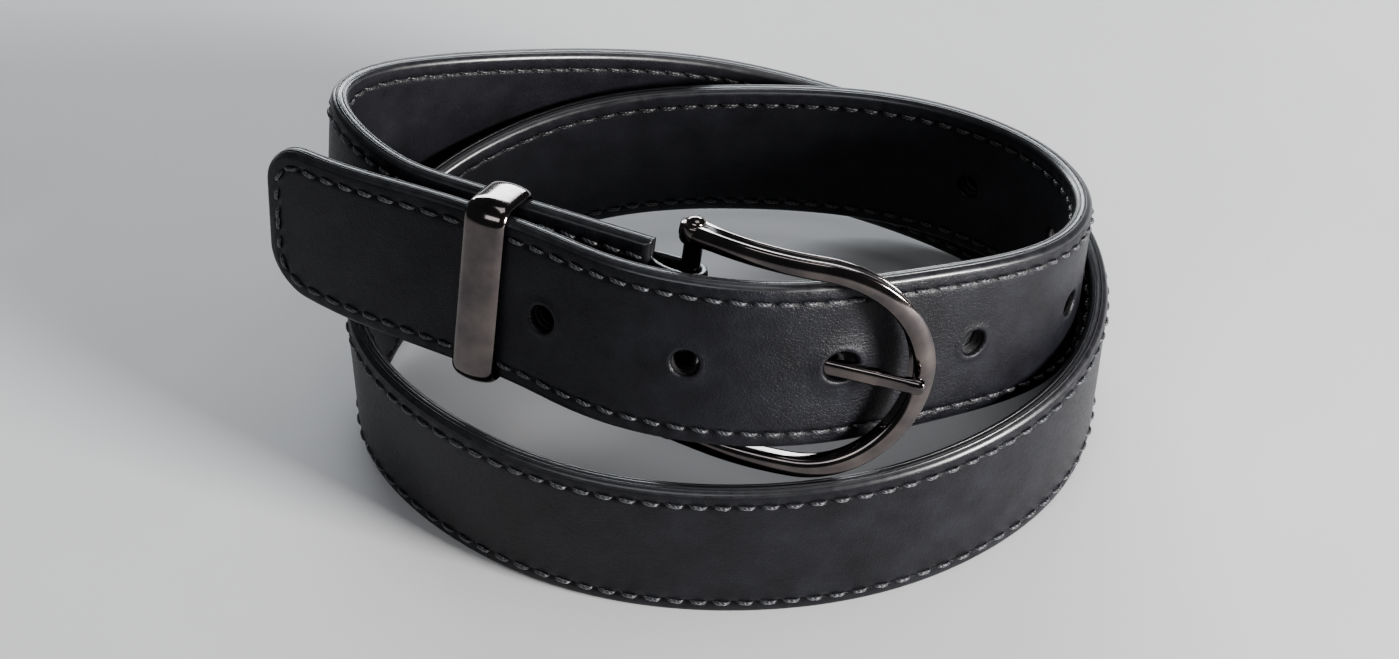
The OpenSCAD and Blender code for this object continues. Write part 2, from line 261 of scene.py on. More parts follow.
def leather(dark, light, rough, grain=1.0, coat=0.25, sheen=0.12, along=(1, 1, 1)):
    def build(nt, bsdf):
        uv = uv_coords(nt, along)
        blot = node(nt, "ShaderNodeTexNoise", in_Scale=1.3, in_Detail=6.0, in_Roughness=0.62)
        nt.links.new(uv, blot.inputs["Vector"])
        cells = node(nt, "ShaderNodeTexVoronoi", feature="DISTANCE_TO_EDGE", in_Scale=17.0, in_Randomness=1.0)
        nt.links.new(uv, cells.inputs["Vector"])
        wrinkle = node(nt, "ShaderNodeTexNoise", in_Scale=9.0, in_Detail=8.0, in_Roughness=0.7)
        nt.links.new(uv, wrinkle.inputs["Vector"])
        fine = node(nt, "ShaderNodeTexNoise", in_Scale=46.0, in_Detail=4.0, in_Roughness=0.6)
        nt.links.new(uv, fine.inputs["Vector"])
        between = tuple((a + b) / 2 for a, b in zip(dark, light))
        base = ramp(nt, blot.outputs["Fac"], [(0.32, dark), (0.55, between), (0.74, light)])
        # Painted shade: the point attribute read here mixes the colour towards near-black in the stitch holes and
        # down the punched holes.
        painted_shade = node(nt, "ShaderNodeAttribute", attribute_name="painted_shade")
        mix = node(nt, "ShaderNodeMix", data_type="RGBA", blend_type="MIX")
        mix.inputs[7].default_value = (0.0016, 0.0016, 0.002, 1)
        nt.links.new(painted_shade.outputs["Fac"], mix.inputs[0])
        nt.links.new(base, mix.inputs[6])
        nt.links.new(mix.outputs[2], bsdf.inputs["Base Color"])
        rr = ramp(nt, wrinkle.outputs["Fac"], [(0.25, level(rough - 0.07)), (0.75, level(rough + 0.1))])
        nt.links.new(rr, bsdf.inputs["Roughness"])
        edge = ramp(nt, cells.outputs["Distance"], [(0.0, (0, 0, 0, 1)), (0.14, (1, 1, 1, 1))])
        bump_chain(nt, bsdf, [(wrinkle.outputs["Fac"], 0.35 * grain, 0.00022), (edge, 0.30 * grain, 0.00006),
                              (fine.outputs["Fac"], 0.35 * grain, 0.00005)])
        bsdf.inputs["Specular IOR Level"].default_value = 0.22
        bsdf.inputs["Coat Weight"].default_value = coat
        bsdf.inputs["Coat Roughness"].default_value = 0.32
        bsdf.inputs["Sheen Weight"].default_value = sheen
        bsdf.inputs["Sheen Roughness"].default_value = 0.45
    return build


def edge_paint(nt, bsdf):
    uv = uv_coords(nt, (0.35, 9.0, 1))
    lines = node(nt, "ShaderNodeTexNoise", in_Scale=4.0, in_Detail=5.0, in_Roughness=0.6)
    nt.links.new(uv, lines.inputs["Vector"])
    uv2 = uv_coords(nt, (1, 1, 1))
    blot = node(nt, "ShaderNodeTexNoise", in_Scale=5.0, in_Detail=6.0, in_Roughness=0.65)
    nt.links.new(uv2, blot.inputs["Vector"])
    base = ramp(nt, blot.outputs["Fac"], [(0.3, (0.006, 0.006, 0.008, 1)), (0.7, (0.017, 0.017, 0.020, 1))])
    nt.links.new(base, bsdf.inputs["Base Color"])
    rr = ramp(nt, blot.outputs["Fac"], [(0.3, level(0.30)), (0.7, level(0.46))])
    nt.links.new(rr, bsdf.inputs["Roughness"])
    bump_chain(nt, bsdf, [(lines.outputs["Fac"], 0.22, 0.0001), (blot.outputs["Fac"], 0.3, 0.0001)])
    bsdf.inputs["Coat Weight"].default_value = 0.4
    bsdf.inputs["Coat Roughness"].default_value = 0.25


def thread_look(nt, bsdf, light=1.0):
    uv = uv_coords(nt, (1, 1, 1))
    ply = node(nt, "ShaderNodeTexWave", wave_type="BANDS", bands_direction="DIAGONAL",
               in_Scale=7.0, in_Distortion=1.2, in_Detail=2.0)
    nt.links.new(uv, ply.inputs["Vector"])
    fuzz = node(nt, "ShaderNodeTexNoise", in_Scale=60.0, in_Detail=4.0)
    nt.links.new(uv, fuzz.inputs["Vector"])
    # light scales the thread colours; the lining-side copy at 0.35 is painted shade.
    base = ramp(nt, ply.outputs["Fac"], [(0.1, (0.008 * light, 0.008 * light, 0.010 * light, 1)),
                                         (0.8, (0.044 * light, 0.045 * light, 0.053 * light, 1))])
    nt.links.new(base, bsdf.inputs["Base Color"])
    rr = ramp(nt, fuzz.outputs["Fac"], [(0.3, level(0.34)), (0.7, level(0.55))])
    nt.links.new(rr, bsdf.inputs["Roughness"])
    bump_chain(nt, bsdf, [(ply.outputs["Fac"], 0.7, 0.00012), (fuzz.outputs["Fac"], 0.4, 0.00003)])
    bsdf.inputs["Sheen Weight"].default_value = 0.3
    bsdf.inputs["Sheen Roughness"].default_value = 0.4
    bsdf.inputs["Coat Weight"].default_value = 0.2
    bsdf.inputs["Coat Roughness"].default_value = 0.3


def gunmetal(nt, bsdf):
    co = node(nt, "ShaderNodeTexCoord")
    blot = node(nt, "ShaderNodeTexNoise", in_Scale=160.0, in_Detail=5.0, in_Roughness=0.55)
    nt.links.new(co.outputs["Object"], blot.inputs["Vector"])
    mp = node(nt, "ShaderNodeMapping")
    mp.inputs["Scale"].default_value = (1.0, 0.06, 0.4)
    mp.inputs["Rotation"].default_value = (0.4, 0.2, 0.5)
    nt.links.new(co.outputs["Object"], mp.inputs["Vector"])
    scratch = node(nt, "ShaderNodeTexNoise", in_Scale=6000.0, in_Detail=3.0, in_Roughness=0.7)
    nt.links.new(mp.outputs["Vector"], scratch.inputs["Vector"])
    base = ramp(nt, blot.outputs["Fac"], [(0.3, (0.074, 0.065, 0.067, 1)), (0.5, (0.112, 0.097, 0.095, 1)),
                                          (0.72, (0.160, 0.138, 0.128, 1))])
    nt.links.new(base, bsdf.inputs["Base Color"])
    rr = ramp(nt, scratch.outputs["Fac"], [(0.3, level(0.09)), (0.62, level(0.15)), (0.8, level(0.27))])
    nt.links.new(rr, bsdf.inputs["Roughness"])
    bump_chain(nt, bsdf, [(scratch.outputs["Fac"], 0.12, 0.00002), (blot.outputs["Fac"], 0.05, 0.0001)])
    bsdf.inputs["Metallic"].default_value = 1.0
    bsdf.inputs["Coat Weight"].default_value = 0.35
    bsdf.inputs["Coat Roughness"].default_value = 0.06


# Painted shade: a near-black non-metal laid in the frame's groove.
def groove_painted_shade(nt, bsdf):
    co = node(nt, "ShaderNodeTexCoord")
    n = node(nt, "ShaderNodeTexNoise", in_Scale=900.0, in_Detail=4.0)
    nt.links.new(co.outputs["Object"], n.inputs["Vector"])
    base = ramp(nt, n.outputs["Fac"], [(0.3, (0.004, 0.004, 0.005, 1)), (0.7, (0.012, 0.011, 0.011, 1))])
    nt.links.new(base, bsdf.inputs["Base Color"])
    rr = ramp(nt, n.outputs["Fac"], [(0.3, level(0.35)), (0.7, level(0.55))])
    nt.links.new(rr, bsdf.inputs["Roughness"])
    bump_chain(nt, bsdf, [(n.outputs["Fac"], 0.3, 0.00004)])


def raw_leather(nt, bsdf):
    uv = uv_coords(nt, (1, 1, 1))
    fib = node(nt, "ShaderNodeTexNoise", in_Scale=22.0, in_Detail=8.0, in_Roughness=0.75)
    nt.links.new(uv, fib.inputs["Vector"])
    base = ramp(nt, fib.outputs["Fac"], [(0.3, (0.006, 0.005, 0.006, 1)), (0.7, (0.022, 0.019, 0.018, 1))])
    nt.links.new(base, bsdf.inputs["Base Color"])
    rr = ramp(nt, fib.outputs["Fac"], [(0.3, level(0.6)), (0.7, level(0.85))])
    nt.links.new(rr, bsdf.inputs["Roughness"])
    bump_chain(nt, bsdf, [(fib.outputs["Fac"], 0.6, 0.0002)])


GRAIN = material("grain_leather", leather((0.0042, 0.0042, 0.0058, 1), (0.0140, 0.0142, 0.0188, 1), 0.36,
                                          grain=1.5, coat=0.07, sheen=0.01))
LININGM = material("lining_leather", leather((0.0065, 0.0065, 0.0085, 1), (0.0150, 0.0150, 0.0190, 1), 0.43,
                                             grain=1.2, coat=0.05, sheen=0.02))
EDGE = material("edge_paint", edge_paint)
RAW = material("raw_leather", raw_leather)
THREAD = material("thread", thread_look)
# Painted shade: the lining-side thread is the face thread's material with its colours scaled down to 0.35.
THREAD_SHADED = material("thread_lining_painted_shade", lambda nt, bsdf: thread_look(nt, bsdf, 0.35))
METAL = material("gunmetal", gunmetal)
GROOVE_SHADE = material("groove_painted_shade", groove_painted_shade)

# ---------------------------------------------------------------- strap layers
HOLES = [LENGTH - FIRST_HOLE - HOLE_PITCH * k for k in range(7)]
HOLE_R = 2.25
FASTENED = 2
STITCH_0 = 2.6


def tip_half(s):
    """Half width of the strap outline at s, with its rounded tip corners."""
    d = np.clip(s - (LENGTH - TIP_R), 0, TIP_R)
    return HALF - TIP_R + np.sqrt(np.maximum(TIP_R ** 2 - d * d, 0))


def to_edge(s, w):
    """Distance from the strap's outline."""
    aw = np.abs(w)
    d = np.minimum(np.minimum(HALF - aw, LENGTH - s), s)
    ds, dw = s - (LENGTH - TIP_R), aw - (HALF - TIP_R)
    corner = (ds > 0) & (dw > 0)
    return np.where(corner, TIP_R - np.hypot(ds, dw), d)


def squeeze(s, w):
    """Moves a column in as the tip narrows, so it keeps its distance from the edge."""
    cut = HALF - tip_half(s)
    return np.where(np.abs(w) > 9, np.sign(w) * (np.abs(w) - cut), w * (9 - cut) / 9)


waves = [(rng.uniform(0.008, 0.06), rng.uniform(-0.25, 0.25), rng.uniform(0, 6.28)) for _ in range(16)]
pucker = rng.uniform(0.15, 1.0, (4, 400))


def face_height(s, w, front):
    """Height of a leather face over its flat place: rounded edge, stitch furrow and puckers, and the painted shade
    that darkens the stitch holes.
    """
    d = np.clip(to_edge(s, w), 0, None)
    r = R_EDGE if front else 0.9
    near = np.clip(r - d, 0, r)
    h = -(r - np.sqrt(np.maximum(r * r - near * near, 0)))
    h -= (0.22 if front else 0.42) * np.clip((3.6 - d) / 3.6, 0, 1) ** 2
    k = (s - STITCH_0) / PITCH
    row = (0 if front else 2) + (w > 0)
    depth = pucker[row, np.clip(k.astype(int), 0, 399)]
    phase = k - np.floor(k)
    hole = np.exp(-((phase - 0.5) * PITCH / 0.5) ** 2)
    low_rough = np.where((w < 0) & (s > 0.62 * LENGTH), 2.4, np.where(s > 0.62 * LENGTH, 1.0, 0.8))
    furrow = np.exp(-((d - STITCH_IN) / 0.62) ** 2)
    h -= furrow * (0.10 + 0.10 * depth)
    h -= 0.32 * hole * np.exp(-((d - STITCH_IN) / 0.36) ** 2)
    margin = np.exp(-((d - 1.9) / 0.75) ** 2)
    h += margin * low_rough * (0.13 * depth * (0.5 + 0.5 * np.cos(2 * math.pi * phase)) - 0.05)
    if front:
        for k, at in enumerate(HOLES):
            r = np.hypot(s - at, w)
            rise, ring, spread = (0.30, 4.1, 1.5) if k == FASTENED else (0.09, 3.1, 0.8)
            h += rise * np.exp(-((r - ring) / spread) ** 2)
    wave = sum(0.012 * np.sin(a * s + b * w + c) for a, b, c in waves)
    h += wave * np.clip(d / 3, 0, 1)
    # Painted shade: darkening where the stitch holes sink in, passed as a point attribute to the leather colour.
    painted_shade = np.exp(-((d - STITCH_IN) / 0.5) ** 2) * np.exp(-((phase - 0.5) * PITCH / 0.5) ** 2)
    return h, painted_shade


rows = [0, 0.1, 0.28, 0.55, 0.9]
step = PITCH / 7
rows += list(np.arange(1.3, LENGTH - 6.5, step))
rows += [LENGTH - x for x in (6.2, 5.6, 5.0, 4.5, 4.0, 3.6, 3.3, 3.0, 2.7, 2.3,
                              1.9, 1.5, 1.1, 0.8, 0.55, 0.33, 0.16, 0.05, 0)]
rows = np.array(rows)
MID = [5.4, 4.32, 3.24, 2.16, 1.08, 0, -1.08, -2.16, -3.24, -4.32, -5.4]
SIDE = [15, 14.9, 14.72, 14.48, 14.2, 13.85, 13.45, 13.1, 12.8, 12.5,
        12.25, 12, 11.75, 11.5, 11.2, 10.8, 10.2, 9.1, 7.8, 6.5]
FULL = SIDE + MID + [-x for x in reversed(SIDE)]
PLAIN = [15, 9.1] + MID + [-9.1, -15]


def strap_layer(name, top, bottom, top_cols, bottom_cols, top_detail, bottom_detail, body, mats, inset=0.0):
    """One leather layer as a closed band with its punched holes."""
    cols = [(w, 1) for w in top_cols] + [(w, -1) for w in reversed(bottom_cols)]
    nr, nc = len(rows), len(cols)
    S = np.repeat(rows, nc)
    Wn = np.tile(np.array([c[0] for c in cols], float), nr)
    face = np.tile(np.array([c[1] for c in cols]), nr)
    W = squeeze(S, Wn)
    W = np.sign(W) * np.maximum(np.abs(W) - inset, 0)
    out = np.where(face > 0, top, bottom).astype(float)
    # Painted shade per point, taken from face_height on the detailed face.
    painted_shade = np.zeros(nr * nc)
    for side, detail in ((1, top_detail), (-1, bottom_detail)):
        if detail:
            h, t = face_height(S, squeeze(S, Wn), side > 0)
            sel = face == side
            out[sel] += side * h[sel]
            painted_shade[sel] = t[sel]
    verts = [on_strap(S, W, out)]
    hops = np.hypot(np.diff([c[0] for c in cols]),
                    [0 if cols[i][1] == cols[i + 1][1] else THICK for i in range(nc - 1)])
    around = np.concatenate([[0], np.cumsum(hops)]) / 10
    uv = [np.stack([S / 10, np.tile(around, nr)], -1)]
    painted_shades = [painted_shade]
    count = nr * nc
    skip = set()
    faces, mat = [], []
    nt = len(top_cols)
    c_top = (top_cols.index(5.4), top_cols.index(-5.4))
    c_bot = (nt + list(reversed(bottom_cols)).index(-5.4), nt + list(reversed(bottom_cols)).index(5.4))
    for k, sh in enumerate(HOLES):
        reach = 5.4 if k != FASTENED else 9.5
        i0 = int(np.searchsorted(rows, sh - reach + (0 if k != FASTENED else 3)))
        i1 = int(np.searchsorted(rows, sh + reach))
        slant = 1.5 if k == FASTENED else 0.0
        walls = []
        for (ca, cb), o_face, detail, side in ((c_top, top, top_detail, 1), (c_bot, bottom, bottom_detail, -1)):
            lo, hi = (ca, cb)
            loop = [(i, lo) for i in range(i0, i1)] + [(i1, j) for j in range(lo, hi)] \
                + [(i, hi) for i in range(i1, i0, -1)] + [(i0, j) for j in range(hi, lo, -1)]
            for i in range(i0, i1):
                for j in range(lo, hi):
                    skip.add((i, j))
            ring0 = [i * nc + j for i, j in loop]
            bs = np.array([rows[i] for i, _ in loop])
            bw = np.array([cols[j][0] for _, j in loop], float)
            cs = sh - slant * o_face
            rs, rw = (HOLE_R, HOLE_R) if k != FASTENED else (2.9, 2.45)
            ang = np.arctan2(bw / (cb - ca), (bs - (bs.min() + bs.max()) / 2) / (bs.max() - bs.min()))
            if detail:
                lift = 0.30 if k == FASTENED else 0.13
                steps = [(0.35, None), (0.62, None), (0.8, None),
                         (1, (1.45, lift * 0.6)), (1, (1.28, lift)), (1, (1.15, lift - 0.05)),
                         (1, (1.07, -0.12)), (1, (1.01, -0.32)), (1, (1.0, -0.55))]
            else:
                steps = [(0.5, None), (1, (1.0, 0.0))]
            prev = ring0
            first_circle = 1.45 if detail else 1.0
            for f, circle in steps:
                if circle is None:
                    tr = f
                    g, dh = first_circle, 0.0
                    ps = bs * (1 - tr) + (cs + rs * g * np.cos(ang)) * tr
                    pw = bw * (1 - tr) + (rw * g * np.sin(ang)) * tr
                else:
                    g, dh = circle
                    ps, pw = cs + rs * g * np.cos(ang), rw * g * np.sin(ang)
                po = np.full(len(ps), float(o_face))
                if detail:
                    hh, _ = face_height(ps, pw, side > 0)
                    po += side * (hh + dh)
                verts.append(on_strap(ps, pw, po))
                uv.append(np.stack([ps / 10, (15 - pw) / 10 if side > 0 else 3.35 + (pw + 15) / 10], -1))
                # Painted shade: rings that go down into a punched hole are darkened.
                hole_wall_shade = np.full(len(ps), 0.55 if circle is not None and circle[1] < -0.1 else 0.0)
                painted_shades.append(hole_wall_shade)
                new = list(range(count, count + len(ps)))
                count += len(ps)
                n = len(new)
                for q in range(n):
                    r = (q + 1) % n
                    quad = (prev[q], prev[r], new[r], new[q])
                    faces.append(quad)
                    mat.append(0)
                prev = new
            walls.append((prev, ang))
        (ta, aa), (tb, ab) = walls
        n = len(ta)
        order = [int(np.argmin(np.abs(np.angle(np.exp(1j * (ab - x)))))) for x in aa]
        for q in range(n):
            r = (q + 1) % n
            faces.append((ta[q], ta[r], tb[order[r]], tb[order[q]]))
            mat.append(2)
    i = np.arange(nr - 1)
    for j in range(nc):
        l = (j + 1) % nc
        hidden = {a for a, b in skip if b == j and l == j + 1}
        inmost = min(abs(cols[j][0]), abs(cols[l][0]))
        here = (j < nt - 1 and inmost < 13.9) or (nt <= j < l and inmost < 14.1)
        for a in i:
            if a in hidden:
                continue
            faces.append((a * nc + j, a * nc + l, (a + 1) * nc + l, (a + 1) * nc + j))
            mat.append(0 if here and rows[a] > 0.9 and rows[a] < LENGTH - 1.0 else 1)
    faces.append(tuple(range(nc - 1, -1, -1)))
    mat.append(1)
    faces.append(tuple((nr - 1) * nc + j for j in range(nc)))
    mat.append(1)
    ob = make(name, np.concatenate(verts), faces, body, mats, mat, np.concatenate(uv), np.concatenate(painted_shades))
    fix_normals(ob, merge=1e-7)
    return ob


outer = strap_layer("strap_grain_leather", 0, -FACE_LAYER,
                    FULL, PLAIN, True, False, "strap", [GRAIN, EDGE, RAW])
fill = strap_layer("strap_filler", -FACE_LAYER, -THICK + LINING_LAYER,
                   PLAIN, PLAIN, False, False, "strap", [RAW, EDGE, RAW], inset=0.015)
inner = strap_layer("strap_lining", -THICK + LINING_LAYER, -THICK,
                    PLAIN, FULL, False, True, "strap", [LININGM, EDGE, RAW])
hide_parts("outer_leather")
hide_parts("core_filler")
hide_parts("lining")


# ---------------------------------------------------------------- stitches
def stitch_path(l, upper):
    """(along, across, direction) of a stitch row that follows the rounded tip."""
    straight = LENGTH - TIP_R
    arc_r = TIP_R - STITCH_IN
    arc = arc_r * math.pi / 2
    sgn = 1 if upper else -1
    if l <= straight:
        return l, sgn * float(HALF - STITCH_IN), (1.0, 0.0)
    if l <= straight + arc:
        t = (l - straight) / arc_r
        across = sgn * (HALF - TIP_R + arc_r * math.cos(t))
        return straight + arc_r * math.sin(t), across, (math.cos(t), -sgn * math.sin(t))
    return LENGTH - STITCH_IN, sgn * (HALF - TIP_R - (l - straight - arc)), (0.0, -sgn)


def stitch_row(name, upper, front, node_name):
    total = LENGTH - TIP_R + (TIP_R - STITCH_IN) * math.pi / 2 + HALF - TIP_R - 1.0
    m, sides = 9, 8
    ts = np.linspace(-1, 1, m)
    rad = 0.36 * np.sqrt(np.clip(1.02 - np.abs(ts) ** 3.2, 0.05, 1))
    C, D1, O1, Rr, U = [], [], [], [], []
    centre = STITCH_0
    n = 0
    ks = []
    while centre < total:
        s0, w0, (ds, dw) = stitch_path(centre, upper)
        skew = (0.16 if front else -0.12) + random.uniform(-0.05, 0.05)
        length = 1.56 + random.uniform(-0.07, 0.06)
        lift = random.uniform(-0.03, 0.04)
        for t, r in zip(ts, rad):
            along = t * length
            across = t * skew
            s = s0 + ds * along - dw * across
            w = w0 + dw * along + ds * across
            o = 0.02 + lift + 0.10 * (1 - t * t) - 0.42 * abs(t) ** 4
            C.append((s, w, o))
            Rr.append(r)
            U.append((n * 0.34 + t * 0.17))
            ks.append((ds, dw))
        centre += PITCH
        n += 1
    C = np.array(C)
    Rr = np.array(Rr)
    ks = np.array(ks)
    side = 1 if front else -1
    base = 0.0 if front else -THICK
    h, _ = face_height(C[:, 0], C[:, 1], front)
    h = np.maximum(h, -0.34)
    th = np.linspace(0, 2 * math.pi, sides, endpoint=False)
    S = C[:, 0:1] - ks[:, 1:2] * Rr[:, None] * np.cos(th)
    W = C[:, 1:2] + ks[:, 0:1] * Rr[:, None] * np.cos(th)
    O = base + side * (C[:, 2:3] + 0.16 + h[:, None] * 0.55 + Rr[:, None] * 0.72 * np.sin(th))
    verts = on_strap(S.ravel(), W.ravel(), O.ravel())
    faces = []
    for q in range(n):
        o0 = q * m * sides
        for j in range(m - 1):
            for k in range(sides):
                l = (k + 1) % sides
                here, there = o0 + j * sides, o0 + (j + 1) * sides
                f = (here + k, here + l, there + l, there + k)
                faces.append(f if front else f[::-1])
        faces.append(tuple(o0 + k for k in range(sides - 1, -1, -1)))
        faces.append(tuple(o0 + (m - 1) * sides + k for k in range(sides)))
    uv = np.stack([np.repeat(np.array(U), sides), np.tile(th / 6.28 * 0.24, len(U))], -1)
    ob = make(name, verts, faces, "strap", [THREAD if front else THREAD_SHADED], uvs=uv)
    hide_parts(node_name)
    return ob


stitch_row("stitches_face_upper", True, True, "face_thread_upper")
stitch_row("stitches_face_lower", False, True, "face_thread_lower")
stitch_row("stitches_lining_upper", True, False, "lining_thread_upper")
stitch_row("stitches_lining_lower", False, False, "lining_thread_lower")


# ---------------------------------------------------------------- chape
def chape():
    leather_t = THICK - FACE_LAYER - LINING_LAYER
    rc = BAR_R + 0.08 + leather_t / 2
    path = [(14.0, -FACE_LAYER - leather_t / 2)]
    path += [(y, -FACE_LAYER - leather_t / 2) for y in (8, 3, 0.5)]
    path += [(-2.6, -BAR_IN + rc * 0.96)]
    for a in range(96, 266, 8):
        path.append((-BAR_BACK + rc * math.cos(math.radians(a)), -BAR_IN + rc * math.sin(math.radians(a))))
    path += [(-2.6, -BAR_IN - rc)]
    path += [(y, -THICK - leather_t / 2) for y in (0.5, 3, 8, 14, 18.3, 18.9, 19.4)]
    path = np.array(path)
    for _ in range(2):
        q = [path[0]]
        for a, b in zip(path[:-1], path[1:]):
            q += [a * 0.75 + b * 0.25, a * 0.25 + b * 0.75]
        path = np.array(q + [path[-1]])
    tan = np.gradient(path, axis=0)
    tan /= np.linalg.norm(tan, axis=1, keepdims=True)
    nrm = np.stack([tan[:, 1], -tan[:, 0]], -1)
    half_ws = [2.4, 2.75, 3.2, 5, 7.5, 9.4, CHAPE_SEAM, 10.8, 11.2, 11.45, CHAPE_HALF]
    ws = np.array([-w for w in reversed(half_ws)] + half_ws)
    n, m = len(path), len(ws)
    d_end = np.minimum(CHAPE_HALF - np.abs(ws), 1.0)
    drop = 0.35 * (1 - np.sqrt(np.clip(1 - (1 - d_end) ** 2, 0, 1)))
    sew = 0.16 * np.exp(-((np.abs(ws) - CHAPE_SEAM) / 0.35) ** 2)
    arc = np.concatenate([[0], np.cumsum(np.linalg.norm(np.diff(path, axis=0), axis=1))])
    verts, uv, painted_shade = [], [], []
    for side in (1, -1):
        half_t = leather_t / 2 - drop - (sew if side > 0 else 0)
        for i in range(n):
            end = min(1.0, (arc[-1] - arc[i]) / 0.6)
            ht = half_t * (0.55 + 0.45 * end)
            y = path[i, 0] + nrm[i, 0] * side * ht * -1
            o = path[i, 1] + nrm[i, 1] * side * ht * -1
            verts.append(at_start(ws, y, o))
            uv.append(np.stack([np.full(m, arc[i] / 10), ws / 10 + side * 3], -1))
            painted_shade.append(np.zeros(m))
    slot = [(path[i, 0] < -1.2) for i in range(n)]
    gap = list(ws).index(-2.4)
    present = np.ones((n - 1, m - 1), bool)
    for i in range(n - 1):
        if slot[i] and slot[i + 1]:
            present[i, gap] = False
    faces, mat = [], []
    N = n * m
    for i in range(n - 1):
        for j in range(m - 1):
            if not present[i, j]:
                continue
            a, b, c, d = i * m + j, i * m + j + 1, (i + 1) * m + j + 1, (i + 1) * m + j
            faces.append((a, b, c, d)); mat.append(0)
            faces.append((N + d, N + c, N + b, N + a)); mat.append(0)
            for di, dj, e0, e1 in ((-1, 0, a, b), (1, 0, c, d), (0, 1, b, c), (0, -1, d, a)):
                ii, jj = i + di, j + dj
                if not (0 <= ii < n - 1 and 0 <= jj < m - 1 and present[ii, jj]):
                    faces.append((e0, e0 + N, e1 + N, e1)); mat.append(1)
    ob = make("chape_fold", np.concatenate(verts), faces, "strap", [GRAIN, EDGE], mat,
              np.concatenate(uv), np.concatenate(painted_shade))
    fix_normals(ob)
    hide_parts("chape")
    # seams that close the chape
    th = np.linspace(0, 2 * math.pi, 8, endpoint=False)
    verts, faces, uvs, count = [], [], [], 0
    z = -THICK - leather_t
    low_y, high_y = 3.2, 15.8
    runs = [((-CHAPE_SEAM, low_y), (CHAPE_SEAM, low_y)), ((-CHAPE_SEAM, high_y), (CHAPE_SEAM, high_y)),
            ((-CHAPE_SEAM, low_y), (-CHAPE_SEAM, high_y)), ((CHAPE_SEAM, low_y), (CHAPE_SEAM, high_y))]
    for (x0, y0), (x1, y1) in runs:
        length = math.hypot(x1 - x0, y1 - y0)
        number = round(length / 3.1)
        dx, dy = (x1 - x0) / length, (y1 - y0) / length
        for q in range(number):
            mid = (q + 0.5) * length / number
            for t in np.linspace(-1, 1, 7):
                l = mid + t * 1.22
                r = 0.32 * math.sqrt(max(0.05, 1.02 - abs(t) ** 3))
                x, y = x0 + dx * l - dy * t * 0.12, y0 + dy * l + dx * t * 0.12
                o = z - 0.08 + 0.34 * abs(t) ** 4
                verts.append(at_start(x - dy * r * np.cos(th), y + dx * r * np.cos(th), o - r * 0.7 * np.sin(th)))
                uvs.append(np.stack([np.full(8, q * 0.31 + t * 0.15), th / 6.28 * 0.24], -1))
            for j in range(6):
                for k in range(8):
                    l2 = (k + 1) % 8
                    here, there = count + j * 8, count + (j + 1) * 8
                    faces.append((here + k, there + k, there + l2, here + l2))
            faces.append(tuple(count + k for k in range(8)))
            faces.append(tuple(count + 48 + k for k in range(7, -1, -1)))
            count += 56
    seam = make("chape_stitches", np.concatenate(verts), faces, "strap", [THREAD], uvs=np.concatenate(uvs))
    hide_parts("chape_thread")


chape()


# ---------------------------------------------------------------- keeper
def loop_points(low, high, r, n_arc=10, n_flat=8):
    """Rounded rectangle with its outward normals, starting on the right side."""
    pts, nrm = [], []
    corners = ((high[0] - r, high[1] - r, 0), (low[0] + r, high[1] - r, 90),
               (low[0] + r, low[1] + r, 180), (high[0] - r, low[1] + r, 270))
    for cx, cy, a0 in corners:
        for k in range(n_arc + 1):
            a = math.radians(a0 + 90 * k / n_arc)
            pts.append((cx + r * math.cos(a), cy + r * math.sin(a)))
            nrm.append((math.cos(a), math.sin(a)))
    out_p, out_n = [], []
    for i in range(len(pts)):
        j = (i + 1) % len(pts)
        out_p.append(pts[i]); out_n.append(nrm[i])
        if math.dist(pts[i], pts[j]) > 1.5:
            for k in range(1, n_flat):
                f = k / n_flat
                out_p.append((pts[i][0] * (1 - f) + pts[j][0] * f, pts[i][1] * (1 - f) + pts[j][1] * f))
                out_n.append(nrm[i])
    return np.array(out_p), np.array(out_n)


def keeper():
    low, high = (-HALF - 1, -THICK - 0.4), (HALF + 0.75, 6.3 + 0.4)
    p, n = loop_points(low, high, 2.4)
    crown = [(0.6, 1.27), (1.3, 1.20), (2.0, 1.08), (2.60, 0.94), (2.95, 0.82),
             (3.40, 0.52), (3.70, 0.26), (3.75, 0.16), (3.75, 0.06), (3.70, 0.0)]
    section = [(-y, t) for y, t in reversed(crown)] + [(0, 1.29)] + crown + [(1.8, 0), (0, 0), (-1.8, 0)]
    rings = []
    for (w, o), (nw, no) in zip(p, n):
        y = np.array([-s[0] for s in section]) + KEEPER_AT
        t = np.array([s[1] for s in section])
        rings.append(at_start(w + nw * t, y, o + no * t))
    ob = sweep("keeper_band", rings, "keeper", [METAL], closed=True)
    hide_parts("keeper")
    fix_normals(ob)


keeper()

# ---------------------------------------------------------------- buckle frame
REACH, FRAME_HALF, RAIL_W, RAIL_D, ARCH = 41.3, 20.0, 3.4, 3.5, 5.7
ARC_R = REACH ** 2 / (8 * ARCH) + ARCH / 2


def bowed(a, b, c):
    """Frame point with c measured out from the bowed middle surface."""
    x = (a - REACH / 2) / ARC_R
    cosx = np.sqrt(1 - x * x)
    return at_bar(a + c * x, b, ARCH - ARC_R + (ARC_R + c) * cosx)


